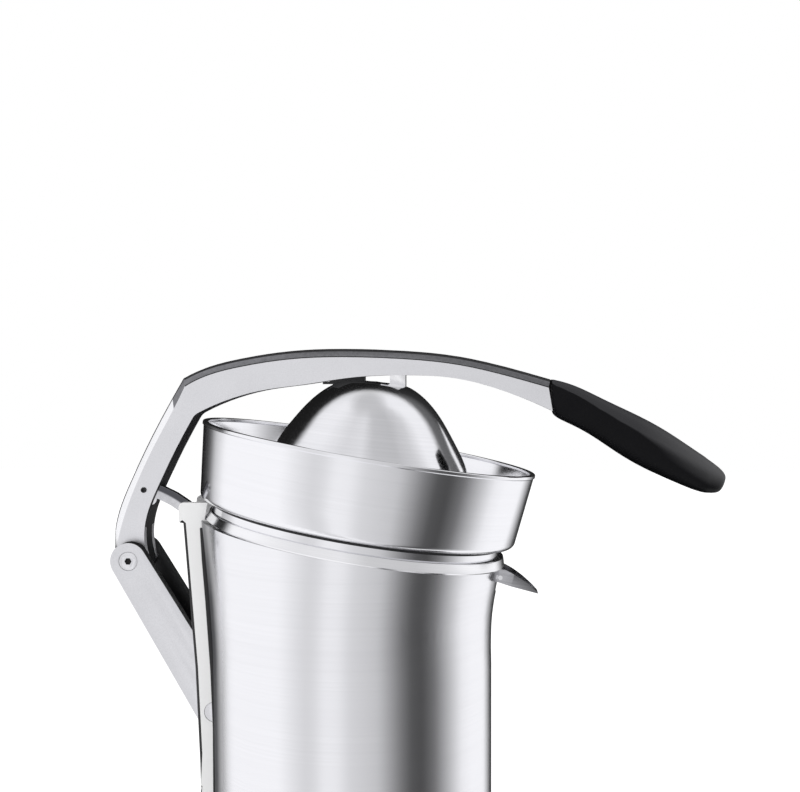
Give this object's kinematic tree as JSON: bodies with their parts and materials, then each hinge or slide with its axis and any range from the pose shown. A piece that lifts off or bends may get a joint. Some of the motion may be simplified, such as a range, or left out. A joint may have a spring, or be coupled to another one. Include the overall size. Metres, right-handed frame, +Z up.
{
  "type": "lever citrus juice press",
  "caption": "Electric citrus press: leaning steel bowl on an upright body, juicing dome on a long lever arm carried by two rear links, spout above a place for a glass.",
  "frame": {"origin": "middle of the bounding box footprint, on the table surface", "axes": "+X towards the user, along the lever; +Y across; +Z up"},
  "size_m": [0.4006, 0.22, 0.3937],
  "materials": {
    "brushed_body": "brushed",
    "polished_bowl": "satin",
    "collar": "satin",
    "arm_casting": "satin",
    "dome_steel": "satin",
    "spine_casting": "satin",
    "strut": "satin",
    "black_plastic": "matte",
    "base": "satin",
    "tub_plastic": "gloss",
    "spout_steel": "polished",
    "rubber": "matte",
    "pins": "polished",
    "screws": "satin",
    "shafts": "ground",
    "bronze": "sintered",
    "copper": "enamelled",
    "gear_plastic": "matte",
    "board": "satin"
  },
  "bodies": {
    "body": {"juice_bowl": "polished_bowl", "bowl_gasket": "rubber", "collar_ring": "collar", "filter_basket": "spout_steel", "juice_tub": "tub_plastic", "spout_pins": "pins", "body_shell": "brushed_body", "base_casting": "base", "base_plate": "black_plastic", "base_screws": "screws", "rubber_feet": "rubber", "glass_mat": "rubber", "cable_gland": "black_plastic", "control_board": "board", "spine_casting": "spine_casting", "spine_screws": "screws", "link_foot_pin": "pins", "strut_foot_pin": "pins", "motor_deck": "black_plastic", "shaft_bush": "bronze", "shaft_seal": "rubber", "gearbox_lid": "black_plastic", "gearbox_housing": "black_plastic", "gearbox_screws": "screws", "idler_axle": "pins", "motor_cap": "shafts", "motor_can": "shafts", "motor_bearings": "bronze", "stator_core": "shafts", "stator_coils": "copper", "motor_screws": "screws", "cone_switch": "black_plastic", "arm_switch": "black_plastic"},
    "lower_link": {"lower_link": "brushed_body", "elbow_pins": "pins"},
    "arm": {"press_arm": "arm_casting", "handle_grip": "black_plastic", "grip_screw": "screws", "dome_mount": "black_plastic", "dome_screws": "screws", "dome_shell": "dome_steel", "dome_liner": "tub_plastic"},
    "upper_link": {"upper_link": "strut", "strut_eye_pin": "pins"},
    "output_gear": {"output_gear": "gear_plastic", "shaft_spring": "shafts"},
    "cone_drive": {"pressing_cone": "tub_plastic", "cone_hub": "tub_plastic", "drive_shaft": "shafts", "shaft_collar": "shafts"},
    "idler": {"idler_gear": "gear_plastic"},
    "rotor": {"motor_shaft": "shafts", "rotor_core": "shafts", "motor_pinion": "gear_plastic"},
    "cone_plunger": {"cone_switch_plunger": "gear_plastic"},
    "arm_plunger": {"arm_switch_plunger": "gear_plastic"},
    "drip_stop": {"drip_stop": "spout_steel"}
  },
  "joints": [
    {"name": "arm_lift", "type": "hinge", "parent": "lower_link", "child": "arm", "pos_m": [-0.18759, 0, 0.2552], "axis": [0, -1, 0], "range_deg": [0, 77.7]},
    {"name": "link_swing", "type": "hinge", "parent": "body", "child": "lower_link", "pos_m": [-0.12949, 0, 0.1598], "axis": [0, 1, 0], "range_deg": [0, 23.81]},
    {"name": "strut_swing", "type": "hinge", "parent": "body", "child": "upper_link", "pos_m": [-0.13708, 0, 0.26889], "axis": [0, 1, 0], "range_deg": [0, 4.92]},
    {"name": "arm_switch_travel", "type": "slide", "parent": "body", "child": "arm_plunger", "axis": [-1, 0, 0], "range_m": [0, 0.00151]},
    {"name": "rotor_spin", "type": "hinge", "parent": "body", "child": "rotor", "pos_m": [-0.00922, 0, 0.18923], "axis": [0.165, 0, 0.9863], "continuous": true},
    {"name": "cone_spin", "type": "hinge", "parent": "body", "child": "output_gear", "pos_m": [-0.04763, 0, 0.23236], "axis": [0.165, 0, 0.9863], "continuous": true},
    {"name": "idler_spin", "type": "hinge", "parent": "body", "child": "idler", "pos_m": [-0.01989, 0.0248, 0.22772], "axis": [0.165, 0, 0.9863], "continuous": true},
    {"name": "cone_press", "type": "slide", "parent": "output_gear", "child": "cone_drive", "axis": [-0.165, 0, -0.9863], "range_m": [0, 0.0025], "stiffness_N_per_m": 3000, "springref_m": -0.003, "deforming": ["shaft_spring"]},
    {"name": "cone_switch_travel", "type": "slide", "parent": "body", "child": "cone_plunger", "axis": [-0.165, 0, -0.9863], "range_m": [0, 0.00251]},
    {"name": "drip_stop_tilt", "type": "hinge", "parent": "body", "child": "drip_stop", "pos_m": [0.05418, 0, 0.24574], "axis": [0, -1, 0], "range_deg": [0, 22]}
  ],
  "couplings": [
    {"joint": "link_swing", "follows": "arm_lift", "ratio": 0.30631},
    {"joint": "strut_swing", "follows": "arm_lift", "ratio": 0.063147},
    {"joint": "arm_switch_travel", "follows": "arm_lift", "m_per_rad": 0.0011061},
    {"joint": "cone_spin", "follows": "rotor_spin", "ratio": 0.0625},
    {"joint": "idler_spin", "follows": "rotor_spin", "ratio": -0.25},
    {"joint": "cone_switch_travel", "follows": "cone_press", "ratio": 1}
  ]
}
